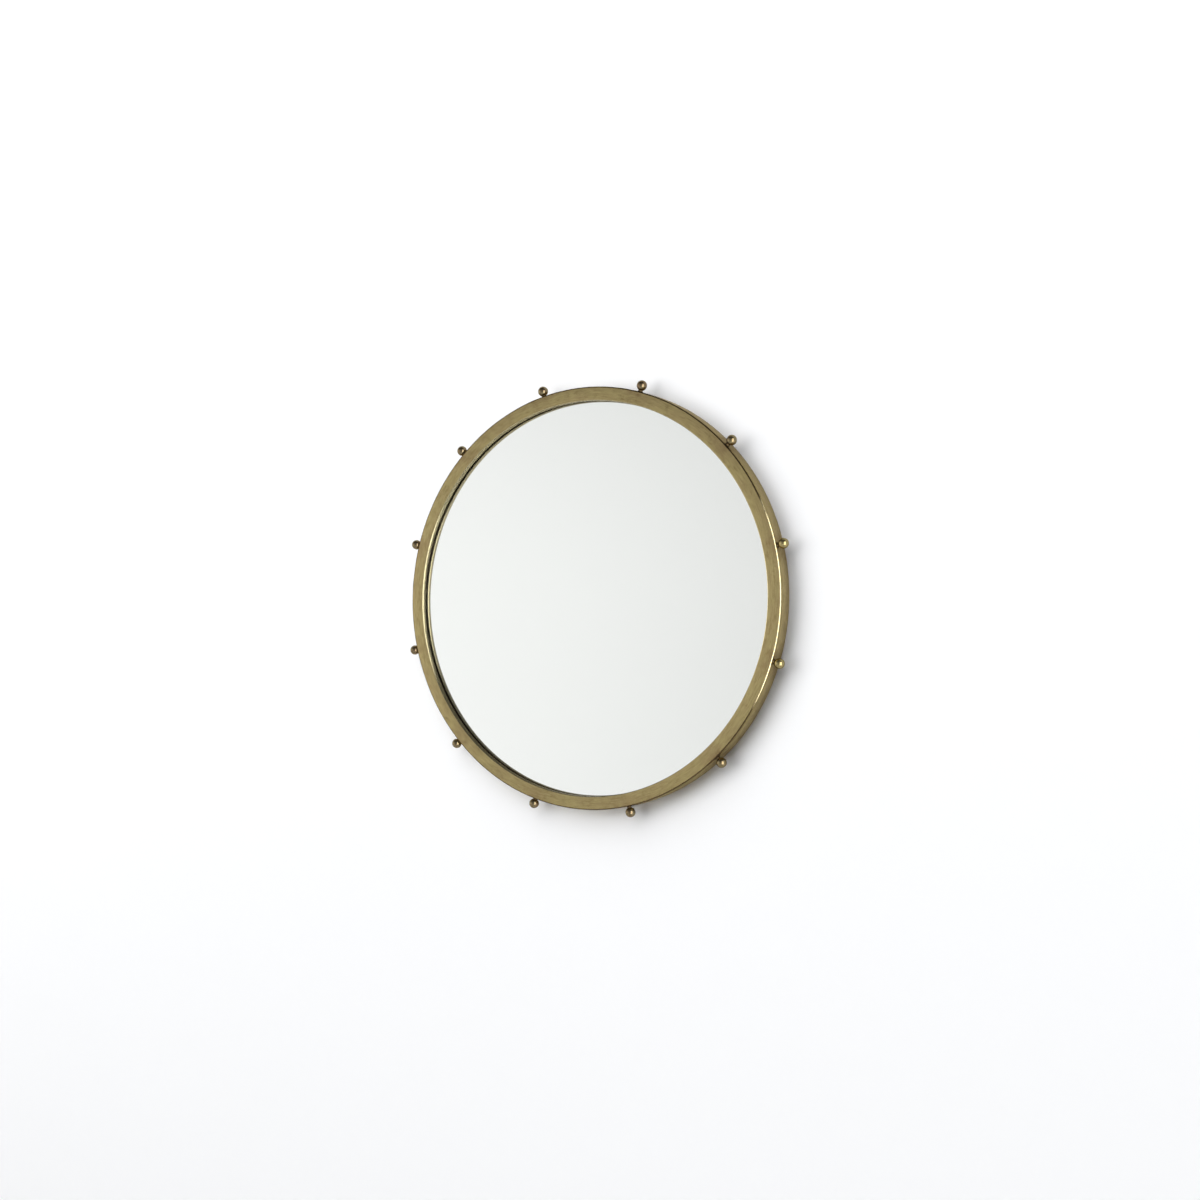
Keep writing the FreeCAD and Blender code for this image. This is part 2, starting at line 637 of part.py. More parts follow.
def make_d_ring(name, side):
    """Wire ring that hangs from its straight bar and lies against the strap."""
    body = new_body("d_ring_" + name)
    half_width = "Sizes.ring_width / 2"
    bar_end = "(" + half_width + " - Sizes.ring_corner_radius)"
    bow_start = "-(Sizes.ring_height - " + half_width + ")"
    corner = "Sizes.ring_corner_radius"
    right_corner = (bar_end, "-" + corner, corner)
    left_corner = ("-" + bar_end, "-" + corner, corner)
    bow = ("0", bow_start, half_width)
    path = new_sketch(body, "Path", "XZ_Plane")
    draw_outline(
        path,
        [
            ("0", "0"),
            (bar_end, "0"),
            (half_width, "-" + corner),
            (half_width, bow_start),
            ("0", "-Sizes.ring_height"),
            ("-" + half_width, bow_start),
            ("-" + half_width, "-" + corner),
            ("-" + bar_end, "0"),
        ],
        arcs={1: right_corner, 3: bow, 4: bow, 6: left_corner},
    )
    wire = new_sketch(body, "Wire", "YZ_Plane")
    draw_circle(wire, "0", "0", "Sizes.ring_wire_radius")
    ring = body.newObject("PartDesign::AdditivePipe", "Pipe")
    ring.Profile = wire
    DOCUMENT.recompute()
    ring.Spine = (path, ["Edge%d" % (n + 1) for n in range(len(path.Shape.Edges))])
    lift = STRAP_TOP + " + Sizes.ring_wire_radius + Sizes.ring_rest_clearance - " + LOOP_OUTSIDE
    tilt = "asin((" + lift + ") / Sizes.ring_height)"
    sideways = FreeCAD.Vector(1, 0, 0)
    body.Placement = FreeCAD.Placement(FreeCAD.Vector(0, 0, 0), FreeCAD.Rotation(sideways, value(tilt)))
    body.setExpression(".Placement.Rotation.Angle", tilt)
    place_hanger(body, side, BOARD_BACK + " + " + LOOP_OUTSIDE)


def make_wall_bumper(side, clock_angle):
    """Tapered rubber foot between the board and the wall, recessed for its screw."""
    body = new_body("wall_bumper_" + side)
    bore = "Sizes.wood_screw_radius + Sizes.screw_hole_clearance"
    section = new_sketch(body, "Section", "XY_Plane", x=BUMPER_CIRCLE)
    draw_outline(
        section,
        [
            (bore, BOARD_BACK),
            ("Sizes.bumper_base_radius", BOARD_BACK),
            ("Sizes.bumper_face_radius", "0"),
            ("Sizes.bumper_recess_radius", "0"),
            ("Sizes.bumper_recess_radius", BUMPER_WEB),
            (bore, BUMPER_WEB),
        ],
    )
    foot = turn(body, "Revolution", section, "V_Axis")
    round_edges(
        body, foot, "Sizes.bumper_edge_round", lambda e: is_hoop(e, "Sizes.bumper_face_radius", "0")
    )
    turn_to(body, clock_angle)


def make_bumper_screws():
    """One screw through each bumper into the board."""
    body = new_body("bumper_screws", several=True)
    screw = make_wood_screw(body, BUMPER_WEB, across=BUMPER_CIRCLE)
    repeat_around(body, screw, len(BUMPER_ANGLES))


for bead_number in range(BEAD_COUNT):
    make_bead(bead_number)
make_frame_ring()
make_bead_collars()
make_bead_screws()
make_glazing_gasket()
make_disc("mirror_glass", GLASS_RADIUS, GLASS_FRONT, GLASS_BACK, "Sizes.glass_arris", "Sizes.glass_arris")
make_disc("silver_backing", "(" + GLASS_RADIUS + " - Sizes.silver_setback)", GLASS_BACK, BOARD_FRONT)
for corner_name, corner_angle in SPACER_ANGLES.items():
    make_edge_spacer(corner_name, corner_angle)
make_backing_board()
for tab_number in range(TAB_COUNT):
    make_retaining_tab(tab_number)
make_tab_screws()
for side_name, side_sign in (("left", -1), ("right", 1)):
    make_hanger_strap(side_name, side_sign)
    make_hanger_screws(side_name, side_sign)
    make_d_ring(side_name, side_sign)
for bumper_side, bumper_angle in BUMPER_ANGLES.items():
    make_wall_bumper(bumper_side, bumper_angle)
make_bumper_screws()
DOCUMENT.recompute()


def check_document():
    """Stop if any object failed or any piece is missing, invalid or in too many solids."""
    for item in DOCUMENT.Objects:
        if {"Invalid", "Error"} & set(item.State):
            raise RuntimeError("%s failed: %s" % (item.Name, item.State))
    for body in BODIES:
        if body.Shape.isNull() or not body.Shape.isValid():
            raise RuntimeError("%s has no valid shape" % body.Label)
        if len(body.Shape.Solids) > 1 and not body.AllowCompound:
            raise RuntimeError("%s fell into several solids" % body.Label)


BODIES = [item for item in DOCUMENT.Objects if item.TypeId == "PartDesign::Body"]
check_document()
os.makedirs("parts", exist_ok=True)
for body in BODIES:
    body.Shape.exportStep("parts/%s.step" % body.Label)
    print("%s: %d solid(s), %.1f mm3" % (body.Label, len(body.Shape.Solids), body.Shape.Volume))
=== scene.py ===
import math

import bmesh
import bpy
from mathutils import Matrix, Vector, noise


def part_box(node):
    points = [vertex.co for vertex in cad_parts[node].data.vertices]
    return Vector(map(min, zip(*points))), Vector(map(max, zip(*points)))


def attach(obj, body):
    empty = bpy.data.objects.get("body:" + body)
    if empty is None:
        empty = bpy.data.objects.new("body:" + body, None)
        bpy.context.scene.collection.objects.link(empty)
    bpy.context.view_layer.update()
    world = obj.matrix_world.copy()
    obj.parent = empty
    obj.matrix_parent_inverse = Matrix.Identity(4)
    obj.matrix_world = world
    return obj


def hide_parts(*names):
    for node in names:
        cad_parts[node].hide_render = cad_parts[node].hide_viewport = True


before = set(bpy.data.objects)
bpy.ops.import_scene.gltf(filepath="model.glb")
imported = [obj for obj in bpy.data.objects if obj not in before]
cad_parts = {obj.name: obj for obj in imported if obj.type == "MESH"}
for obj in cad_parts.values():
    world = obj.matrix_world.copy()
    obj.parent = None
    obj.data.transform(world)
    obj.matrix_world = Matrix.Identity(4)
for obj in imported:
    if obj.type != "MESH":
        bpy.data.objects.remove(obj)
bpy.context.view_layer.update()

# Looks of a round wall mirror with ball beads standing around its aged brass frame.
# Metres. +Z up, the wall is the plane y = 0, the mirror looks along -Y, and the origin is
# the centre of the frame on the wall. Clock angles turn clockwise from the top, as seen
# from the front.

MM = 0.001
FULL_TURN = 2 * math.pi
BEAD_COUNT = 12
BEAD_STEP = FULL_TURN / BEAD_COUNT
FIRST_BEAD = BEAD_STEP / 2

# Camera, as measured in the photograph: a picture of 1200 by 1200 pixels, angles in degrees
PICTURE_SIDE = 1200
CAMERA_AZIMUTH = 30.17
CAMERA_ELEVATION = 4.47
CAMERA_ROLL = -1.32
CAMERA_DISTANCE = 2.349
FOCAL_PIXELS = 1555
CENTRE_PIXEL = (594.32, 600.71)
AXIS_PIXEL = (560.52, 738.65)
SENSOR_WIDTH_MM = 36

# Stage
WHITE = (1.0, 1.0, 1.0, 1.0)
WALL_GAP = 0.1 * MM
WALL_HALF_WIDTH = 4.0
WALL_HEIGHT = 4.2
WALL_HOLE_INSET = 2 * MM
WALL_SEGMENTS = 128
FLOOR_BELOW_CENTRE = 1.6
FLOOR_DEPTH = 4.5
WALL_WHITE = (0.99, 0.99, 0.99, 1.0)
FLOOR_SEEN = (0.84, 0.835, 0.825, 1.0)
FLOOR_THROWN = (0.25, 0.25, 0.25, 1.0)
LAMP_DISTANCE = 2.6

# Levels of the room that polished surfaces show, as shares of white: the pale screen, what a
# glow adds at its far left, the room to its right, above and below it, and behind the wall
SCREEN_LEVEL = 1.0
LEFT_GLOW = 0.6
ROOM_LEVEL = 0.40
DARK_LEVEL = 0.17
BEHIND_LEVEL = 0.7

# Where these levels begin and end. All are sines: to the right, the height of the screen's
# middle, away from that height, and towards the back.
GLOW_LEFT = -0.85
SCREEN_LEFT = -0.65
SCREEN_RIGHT = 0.10
SCREEN_TILT = -0.12
SCREEN_TOP = 0.12
SCREEN_END = 0.85
FRONT_END = -0.05
BEHIND_START = 0.10

# The room's light on matt surfaces
MATT_LIGHT = (0.035, 0.045, 0.065, 1.0)

# Meshes
SHARP_ANGLE = math.radians(35)
WELD_DISTANCE = 0.001 * MM
ROUND_STEPS = 6

# Frame ring
EDGE_ROUND = 1.6 * MM
LIP_ROUND = 1.2 * MM
SHEET = 1.5 * MM
LIP_DEPTH = 7.6 * MM
CUT_EDGE_ROUND = 0.25 * MM
RING_SEGMENTS = 720
RING_UNEVENNESS = 0.12 * MM
FACE_UNEVENNESS = 0.05 * MM
EDGE_ROUND_CHANGE = 0.3 * MM

# Beads and their screw bores
BEAD_SEGMENTS = 72
BEAD_ARC_STEPS = 40
BEAD_UNEVENNESS = 0.035 * MM
LARGE_DENTS = 1.6
SMALL_DENTS = 5
SMALL_DENT_SHARE = 0.4
SCREW_BORE = 2.05 * MM
BORE_DEPTH = 8.2 * MM
BORE_CHAMFER = 0.35 * MM

# Necks, and the fillets of braze at their two ends with their change around the neck
NECK_SEGMENTS = 36
NECK_RADIUS = 3.3 * MM
NECK_BORE = 2.2 * MM
NECK_SINK = 0.06 * MM
NECK_FLARE = 1.3 * MM
FLARE_CHANGE = 0.3
BRAZE_RISE = 0.75 * MM
RISE_SHARE = 0.8
RISE_CHANGE = 0.25

# Layers of noise that the first neck's two fillets use
FLARE_LAYER = 20
RISE_LAYER = 40

# Brass: stretch of its reflections and the turn of that stretch, what it keeps of them at a
# grazing view, and the smoothness of its rounded edges
BRUSHING = 0.6
BRUSHING_TURN = 0.25
GRAZING_TINT = (0.52, 0.49, 0.43, 1.0)
EDGE_ROUGHNESS = 0.17

# How far to the right the painted highlight, shown as brass rubbed bright by handling, begins
# and where it is full, and how much that strays on the ring and on the balls
LIT_RIGHT_FROM = 0.286
LIT_RIGHT_FULLY = 0.308
RING_STRAYS = 30 * MM
BALL_STRAYS = 60 * MM

# Marks on the ring, painted light among them: wander of their outlines, width of the bands along
# the face's outer edge and on the lip, where the outer wall's paler tone, a painted reflection,
# begins, and the distance from the centre line between which heat marks grow
OUTLINE_WANDER = 1.2 * MM
EDGE_BAND = (1.9 * MM, 2.7 * MM)
LIP_BAND = (1.3 * MM, 2.0 * MM)
SIDE_PAINTED_SHEEN = (4.5 * MM, 9.0 * MM)
HEAT_REACH = (0.298, 0.314)

# Glass
GLASS_ARRIS = 0.5 * MM
GLASS_SEGMENTS = 360
SILVER_GAP = 0.04 * MM


def reach(node):
    """A node's least and greatest distance from the centre line, and its front and rear planes."""
    distances = [math.hypot(v.co.x, v.co.z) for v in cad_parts[node].data.vertices]
    low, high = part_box(node)
    return min(distances), max(distances), low.y, high.y


RING_INNER, RING_OUTER, RING_FRONT, RING_REAR = reach("frame_ring")
BEAD_TIP, BEAD_FRONT, BEAD_REAR = reach("bead_01")[1:]
BEAD_RADIUS = (BEAD_REAR - BEAD_FRONT) / 2
BEAD_PLANE = (BEAD_REAR + BEAD_FRONT) / 2
BEAD_CENTRE = BEAD_TIP - BEAD_RADIUS
SEAT_ANGLE = math.asin(NECK_RADIUS / BEAD_RADIUS)
BEAD_SEAT = BEAD_CENTRE - BEAD_RADIUS * math.cos(SEAT_ANGLE)
GLASS_RADIUS, GLASS_FRONT, GLASS_BACK = reach("mirror_glass")[1:]


class Nodes:
    """Short calls that build one node tree."""

    def __init__(self, tree):
        self.tree = tree
        tree.nodes.clear()

    def feed(self, socket, value):
        """Set a socket, or link it if the value is another node's output."""
        if isinstance(value, bpy.types.NodeSocket):
            self.tree.links.new(value, socket)
        else:
            socket.default_value = value

    def add(self, kind, *values, **settings):
        """A new node, with its settings and its first inputs in order."""
        node = self.tree.nodes.new("ShaderNode" + kind)
        for name, value in settings.items():
            setattr(node, name, value)
        for socket, value in zip(node.inputs, values):
            self.feed(socket, value)
        return node

    def feed_all(self, node, **values):
        """Set or link a node's inputs by name."""
        for name, value in values.items():
            self.feed(node.inputs[name.replace("_", " ")], value)

    def math(self, operation, *values):
        return self.add("Math", *values, operation=operation).outputs[0]

    def vector(self, operation, *values):
        return self.add("VectorMath", *values, operation=operation).outputs[0]

    def combine(self, x, y, z):
        return self.add("CombineXYZ", x, y, z).outputs[0]

    def fade(self, value, start, stop, first=0.0, last=1.0):
        """Runs smoothly from first to last while the value goes from start to stop."""
        node = self.add("MapRange", value, interpolation_type="SMOOTHSTEP")
        self.feed_all(node, From_Min=start, From_Max=stop, To_Min=first, To_Max=last)
        return node.outputs[0]

    def noise(self, place, scale, detail=3.0, roughness=0.55):
        node = self.add("TexNoise")
        self.feed_all(node, Vector=place, Scale=scale, Detail=detail, Roughness=roughness)
        return node.outputs["Fac"]

    def mix(self, share, first, second):
        """Colour between first and second. A colour Mix node takes them at inputs 6 and 7."""
        node = self.add("Mix", data_type="RGBA", blend_type="MIX")
        self.feed(node.inputs[0], share)
        self.feed(node.inputs[6], first)
        self.feed(node.inputs[7], second)
        return node.outputs[2]

    def bump(self, height, distance, strength, normal=None):
        node = self.add("Bump")
        self.feed_all(node, Height=height, Distance=distance, Strength=strength)
        if normal is not None:
            self.feed(node.inputs["Normal"], normal)
        return node.outputs["Normal"]

    def unscattered(self):
        """1 on a ray that no matt surface has scattered on its way from the camera, otherwise 0."""
        depth = self.add("LightPath").outputs["Diffuse Depth"]
        return self.math("LESS_THAN", depth, 0.5)

    def place(self):
        """The place on the part, in metres."""
        return self.add("TexCoord").outputs["Object"]

    def around(self):
        """Distance from the centre line, depth, and the place moved onto the ring's outer circle."""
        x, y, z = self.add("SeparateXYZ", self.place()).outputs
        flat = self.combine(x, 0.0, z)
        distance = self.add("VectorMath", flat, operation="LENGTH").outputs["Value"]
        along = self.add("VectorMath", self.vector("NORMALIZE", flat), operation="SCALE")
        self.feed(along.inputs["Scale"], RING_OUTER)
        return distance, y, along.outputs[0]


def new_material(name, **constants):
    """A material with one Principled shader, whose constant inputs are set by name."""
    material = bpy.data.materials.new(name)
    material.use_nodes = True
    nodes = Nodes(material.node_tree)
    shader = nodes.add("BsdfPrincipled")
    output = nodes.add("OutputMaterial")
    nodes.feed(output.inputs["Surface"], shader.outputs[0])
    for key, value in constants.items():
        shader.inputs[key.replace("_", " ")].default_value = value
    return material, nodes, shader


def colour(red, green, blue):
    """A colour given in 0 to 255 as a screen shows it."""
    linear = []
    for part in (red, green, blue):
        part /= 255
        linear.append(part / 12.92 if part <= 0.04045 else ((part + 0.055) / 1.055) ** 2.4)
    return (*linear, 1.0)


def make_ring_brass():
    """Brushed antique brass: patina in blotches, brown heat marks at the beads, a dark outer edge that is
    patina and painted shade, a paler outer wall that is painted reflection, a pale lip that is painted
    highlight, and a painted highlight along the edges at the right, shown as brass rubbed bright there.
    """
    material, nodes, shader = new_material(
        "brushed_brass",
        Metallic=1.0,
        Specular_Tint=GRAZING_TINT,
        Anisotropic=BRUSHING,
        Anisotropic_Rotation=BRUSHING_TURN,
    )
    tangent = nodes.add("Tangent", direction_type="RADIAL", axis="Y")
    distance, depth, along = nodes.around()
    across = nodes.math("SUBTRACT", distance, depth)
    x, _, z = nodes.add("SeparateXYZ", nodes.place()).outputs
    patina = colour(112, 95, 60)

    def streaks(along_scale, across_scale, detail):
        stretched = nodes.add("VectorMath", along, operation="SCALE")
        nodes.feed(stretched.inputs["Scale"], along_scale)
        offset = nodes.combine(0.0, nodes.math("MULTIPLY", across, across_scale), 0.0)
        return nodes.noise(nodes.vector("ADD", stretched.outputs[0], offset), 1.0, detail)

    blotches = streaks(28.0, 60.0, 4.0)
    clouds = nodes.noise(nodes.place(), 110.0, 5.0, 0.6)
    grain = nodes.noise(nodes.place(), 1100.0, 3.0, 0.6)
    brushing = streaks(90.0, 2600.0, 4.0)
    fine = streaks(260.0, 6500.0, 2.0)
    scratches = streaks(75.0, 620.0, 3.0)
    wander = nodes.math("MULTIPLY", nodes.noise(nodes.place(), 300.0, 3.0), OUTLINE_WANDER)

    # How near a place is to the outer and to the inner edge of the face
    from_rim = nodes.math("ADD", nodes.math("SUBTRACT", RING_OUTER, distance), wander)
    from_face = nodes.math("ADD", nodes.math("SUBTRACT", depth, RING_FRONT), wander)
    from_hole = nodes.math("ADD", nodes.math("SUBTRACT", distance, RING_INNER), wander)
    shallow = nodes.fade(from_face, *EDGE_BAND, 1.0, 0.0)
    outer_edge = nodes.math("MULTIPLY", shallow, nodes.fade(from_rim, *EDGE_BAND, 1.0, 0.0))
    side = nodes.fade(from_face, *SIDE_PAINTED_SHEEN)
    lip = nodes.fade(from_hole, *LIP_BAND, 1.0, 0.0)
    inner_edge = nodes.math("MULTIPLY", shallow, lip)
    strays = nodes.math("MULTIPLY", nodes.noise(nodes.place(), 60.0, 3.0), RING_STRAYS)
    # Right side of the ring, where the softbox's reflection falls: the painted highlight goes here
    lit_right_side = nodes.fade(nodes.math("ADD", x, strays), LIT_RIGHT_FROM, LIT_RIGHT_FULLY)
    highlight_and_wear = nodes.math("MULTIPLY", nodes.math("MAXIMUM", outer_edge, inner_edge), lit_right_side)
    # Outer edge away from the right: patina, and painted shade for the dark room that the rounded edge
    # reflects
    patina_and_shade = nodes.math("MULTIPLY", outer_edge, nodes.math("SUBTRACT", 1.0, lit_right_side))

    # Waves twelve to the turn, with their crests at the beads and made ragged by the clouds
    turn = nodes.math("ARCTAN2", x, z)
    phase = nodes.math("MULTIPLY", nodes.math("SUBTRACT", turn, FIRST_BEAD), float(BEAD_COUNT))
    ragged = nodes.math("MULTIPLY", nodes.math("SUBTRACT", clouds, 0.5), 1.4)
    near_bead = nodes.math("ADD", nodes.math("COSINE", phase), ragged)
    outwards = nodes.fade(distance, *HEAT_REACH, 0.35, 1.0)
    heat = nodes.math("MULTIPLY", nodes.fade(near_bead, 0.55, 1.15), outwards)

    base = nodes.mix(nodes.fade(blotches, 0.38, 0.62), colour(175, 160, 112), colour(170, 153, 109))
    # Painted reflection: the outer wall gets a paler, greyer brass, for the white wall it mirrors
    base = nodes.mix(nodes.math("MULTIPLY", side, 0.8), base, colour(202, 185, 140))
    base = nodes.mix(nodes.fade(clouds, 0.52, 0.78, 0.0, 0.40), base, patina)
    base = nodes.mix(nodes.fade(brushing, 0.30, 0.72, 0.28, 0.0), base, patina)
    base = nodes.mix(nodes.fade(scratches, 0.52, 0.70, 0.0, 0.40), base, colour(116, 98, 62))
    base = nodes.mix(nodes.fade(scratches, 0.32, 0.48, 0.30, 0.0), base, colour(196, 180, 130))
    base = nodes.mix(nodes.fade(grain, 0.50, 0.80, 0.0, 0.50), base, colour(118, 100, 66))
    base = nodes.mix(nodes.fade(grain, 0.25, 0.45, 0.35, 0.0), base, colour(200, 185, 134))
    base = nodes.mix(nodes.math("MULTIPLY", heat, 0.4), base, colour(126, 98, 74))
    # Painted highlight: the lip paler all round, for the bright strip of light it shows
    base = nodes.mix(nodes.math("MULTIPLY", lip, 0.8), base, colour(180, 171, 138))
    # Dark outer edge: partly patina, partly painted shade standing for a dark reflection
    base = nodes.mix(nodes.math("MULTIPLY", patina_and_shade, 0.85), base, colour(62, 45, 30))
    # Painted highlight: bright brass on the edges at the right, standing for the softbox's reflection,
    # partly wear
    base = nodes.mix(nodes.math("MULTIPLY", highlight_and_wear, 0.9), base, colour(232, 217, 170))
    roughness = nodes.fade(clouds, 0.3, 0.8, 0.30, 0.44)
    roughness = nodes.math("ADD", roughness, nodes.fade(brushing, 0.3, 0.7, 0.05, -0.03))
    edges = nodes.math("MAXIMUM", outer_edge, lip)
    roughness = nodes.fade(edges, 0.0, 1.0, roughness, EDGE_ROUGHNESS)
    height = nodes.math("ADD", brushing, nodes.math("MULTIPLY", fine, 0.4))
    normal = nodes.bump(height, 0.012 * MM, 0.6)
    normal = nodes.bump(nodes.noise(nodes.place(), 420.0, 2.0), 0.05 * MM, 0.35, normal)
    nodes.feed_all(shader, Base_Color=base, Roughness=roughness, Normal=normal, Tangent=tangent.outputs[0])
    return material


def make_ball_brass():
    """Darker antique brass, smoother than the ring, paler at the right: painted light, shown as rubbed
    patina.
    """
    material, nodes, shader = new_material("ball_brass", Metallic=1.0, Specular_Tint=GRAZING_TINT)
    place = nodes.place()
    x = nodes.add("SeparateXYZ", place).outputs[0]
    clouds = nodes.noise(place, 170.0, 5.0, 0.6)
    grain = nodes.noise(place, 1500.0, 3.0, 0.6)
    strays = nodes.math("MULTIPLY", clouds, BALL_STRAYS)
    lit_right_side = nodes.fade(nodes.math("ADD", x, strays), LIT_RIGHT_FROM - 50 * MM, LIT_RIGHT_FULLY + 30 * MM)
    base = nodes.mix(nodes.fade(clouds, 0.38, 0.62), colour(132, 121, 92), colour(122, 104, 80))
    # Painted light: the balls at the right are paler, where the softbox's light falls on them
    base = nodes.mix(lit_right_side, base, colour(160, 146, 102))
    base = nodes.mix(nodes.fade(grain, 0.50, 0.78, 0.0, 0.6), base, colour(76, 62, 42))
    roughness = nodes.fade(clouds, 0.3, 0.75, 0.17, 0.27)
    normal = nodes.bump(clouds, 0.10 * MM, 0.4, nodes.bump(grain, 0.012 * MM, 0.5))
    nodes.feed_all(shader, Base_Color=base, Roughness=roughness, Normal=normal)
    return material


def make_braze():
    """Brass that ran from the torch around the necks: brown with oxide, and a few bare spots."""
    material, nodes, shader = new_material("brazed_neck", Metallic=1.0, Specular_Tint=GRAZING_TINT)
    place = nodes.place()
    clouds = nodes.noise(place, 420.0, 4.0, 0.6)
    spots = nodes.noise(place, 900.0, 3.0, 0.6)
    base = nodes.mix(nodes.fade(clouds, 0.35, 0.65), colour(108, 92, 66), colour(74, 61, 44))
    base = nodes.mix(nodes.fade(spots, 0.58, 0.72, 0.0, 0.7), base, colour(196, 176, 138))
    roughness = nodes.fade(spots, 0.4, 0.7, 0.5, 0.28)
    nodes.feed_all(shader, Base_Color=base, Roughness=roughness, Normal=nodes.bump(spots, 0.12 * MM, 0.5))
    return material


def make_glass():
    """Clear float glass with a faint green cast."""
    return new_material(
        "float_glass",
        Base_Color=(0.991, 0.997, 0.990, 1.0),
        Roughness=0.0,
        IOR=1.52,
        Transmission_Weight=1.0,
    )[0]


def make_silver():
    """The mirror's silver, seen through the glass."""
    return new_material(
        "mirror_silver",
        Base_Color=(0.948, 0.957, 0.948, 1.0),
        Metallic=1.0,
        Roughness=0.012,
    )[0]


def make_foam():
    """Black closed-cell foam tape, tinted brown as a painted reflection of the brass beside it."""
    material, nodes, shader = new_material("foam_tape", Roughness=0.92)
    cells = nodes.noise(nodes.place(), 2600.0, 2.0)
    # Brown tones: painted reflection of the brass in the seam
    base = nodes.mix(cells, colour(58, 42, 22), colour(90, 70, 42))
    nodes.feed_all(shader, Base_Color=base, Normal=nodes.bump(cells, 0.15 * MM, 0.6))
    return material


def make_rubber():
    """Moulded black rubber with a dusty bloom."""
    material, nodes, shader = new_material("moulded_rubber")
    bloom = nodes.noise(nodes.place(), 240.0, 4.0)
    grain = nodes.noise(nodes.place(), 3200.0, 2.0)
    base = nodes.mix(nodes.fade(bloom, 0.4, 0.75), colour(28, 28, 29), colour(58, 57, 55))
    roughness = nodes.fade(bloom, 0.35, 0.7, 0.48, 0.72)
    nodes.feed_all(shader, Base_Color=base, Roughness=roughness, Normal=nodes.bump(grain, 0.05 * MM, 0.5))
    return material


def make_zinc(name, tint, rough):
    """Zinc-plated steel with a faintly blue and yellow passivated skin."""
    material, nodes, shader = new_material(name, Metallic=1.0)
    cloud = nodes.noise(nodes.place(), 90.0, 4.0)
    spangle = nodes.noise(nodes.place(), 900.0, 3.0)
    base = nodes.mix(nodes.fade(cloud, 0.35, 0.65), tint, colour(172, 176, 182))
    base = nodes.mix(nodes.fade(spangle, 0.50, 0.75, 0.0, 0.6), base, colour(126, 124, 120))
    roughness = nodes.fade(spangle, 0.3, 0.7, rough, rough + 0.12)
    nodes.feed_all(shader, Base_Color=base, Roughness=roughness, Normal=nodes.bump(spangle, 0.02 * MM, 0.5))
    return material


def make_fibreboard():
    """Pressed wood fibres: light brown, sanded, with short paler and darker fibres in two ways."""
    material, nodes, shader = new_material("pressed_board", Specular_IOR_Level=0.3)
    place = nodes.place()
    tone = nodes.noise(place, 9.0, 3.0)

    def fibres(stretch, turn):
        mapping = nodes.add("Mapping", place, vector_type="TEXTURE")
        nodes.feed_all(mapping, Rotation=(0.0, turn, 0.0), Scale=(stretch, 1.0, 1.0))
        return nodes.noise(mapping.outputs[0], 520.0, 4.0, 0.7)

    dark_fibres = fibres(5.0, 0.5)
    pale_fibres = fibres(4.0, -0.9)
    flecks = nodes.noise(place, 1700.0, 2.0)
    base = nodes.mix(nodes.fade(tone, 0.3, 0.7), colour(181, 147, 108), colour(189, 157, 118))
    base = nodes.mix(nodes.fade(dark_fibres, 0.50, 0.70, 0.0, 0.6), base, colour(139, 104, 70))
    base = nodes.mix(nodes.fade(pale_fibres, 0.52, 0.72, 0.0, 0.6), base, colour(216, 191, 152))
    base = nodes.mix(nodes.fade(flecks, 0.62, 0.74, 0.0, 0.6), base, colour(112, 80, 52))
    roughness = nodes.fade(dark_fibres, 0.3, 0.7, 0.68, 0.85)
    relief = nodes.math("SUBTRACT", pale_fibres, nodes.math("MULTIPLY", dark_fibres, 0.7))
    nodes.feed_all(shader, Base_Color=base, Roughness=roughness, Normal=nodes.bump(relief, 0.05 * MM, 0.6))
    return material


def rounded(corners):
    """Points of a closed outline with rounded corners, each given as (across, along, radius)."""
    points = []
    for number, corner in enumerate(corners):
        here = Vector(corner[:2])
        radius = corner[2]
        before = (Vector(corners[number - 1][:2]) - here).normalized()
        after = (Vector(corners[(number + 1) % len(corners)][:2]) - here).normalized()
        half = before.angle(after) / 2
        centre = here + (before + after).normalized() * radius / math.sin(half)
        first = here + before * radius / math.tan(half) - centre
        sweep = first.angle_signed(here + after * radius / math.tan(half) - centre)
        for step in range(ROUND_STEPS + 1):
            spoke = first.copy()
            spoke.rotate(Matrix.Rotation(-sweep * step / ROUND_STEPS, 2))
            points.append(centre + spoke)
    return points


def add_piece(name, mesh_maker, material, body="mirror"):
    """A mesh piece in place, smooth but crisp at sharp edges, which rides on a body."""
    mesh = bpy.data.meshes.new(name)
    grid = bmesh.new()
    mesh_maker(grid)
    bmesh.ops.recalc_face_normals(grid, faces=grid.faces)
    grid.to_mesh(mesh)
    grid.free()
    piece = bpy.data.objects.new(name, mesh)
    bpy.context.scene.collection.objects.link(piece)
    mesh.materials.append(material)
    mesh.shade_smooth()
    mesh.set_sharp_from_angle(angle=SHARP_ANGLE)
    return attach(piece, body)


def turned(outline_at, segments, place):
    """Mesh maker: a closed outline carried once around the Z axis of a place.

    outline_at(angle) gives (distance from the axis, height) pairs, always as many.
    """

    def make(grid):
        rows = []
        for number in range(segments):
            angle = FULL_TURN * number / segments
            row = [
                grid.verts.new(place @ Vector((out * math.cos(angle), out * math.sin(angle), height)))
                for out, height in outline_at(angle)
            ]
            rows.append(row)
        for number, row in enumerate(rows):
            other = rows[(number + 1) % segments]
            for step in range(len(row)):
                following = (step + 1) % len(row)
                grid.faces.new((row[step], row[following], other[following], other[step]))
        bmesh.ops.remove_doubles(grid, verts=[v for row in rows for v in row], dist=WELD_DISTANCE)

    return make


# Places of turned pieces: about the centre line, and about a bead's own axis
CENTRE_LINE = Matrix(((1, 0, 0), (0, 0, 1), (0, -1, 0))).to_4x4()


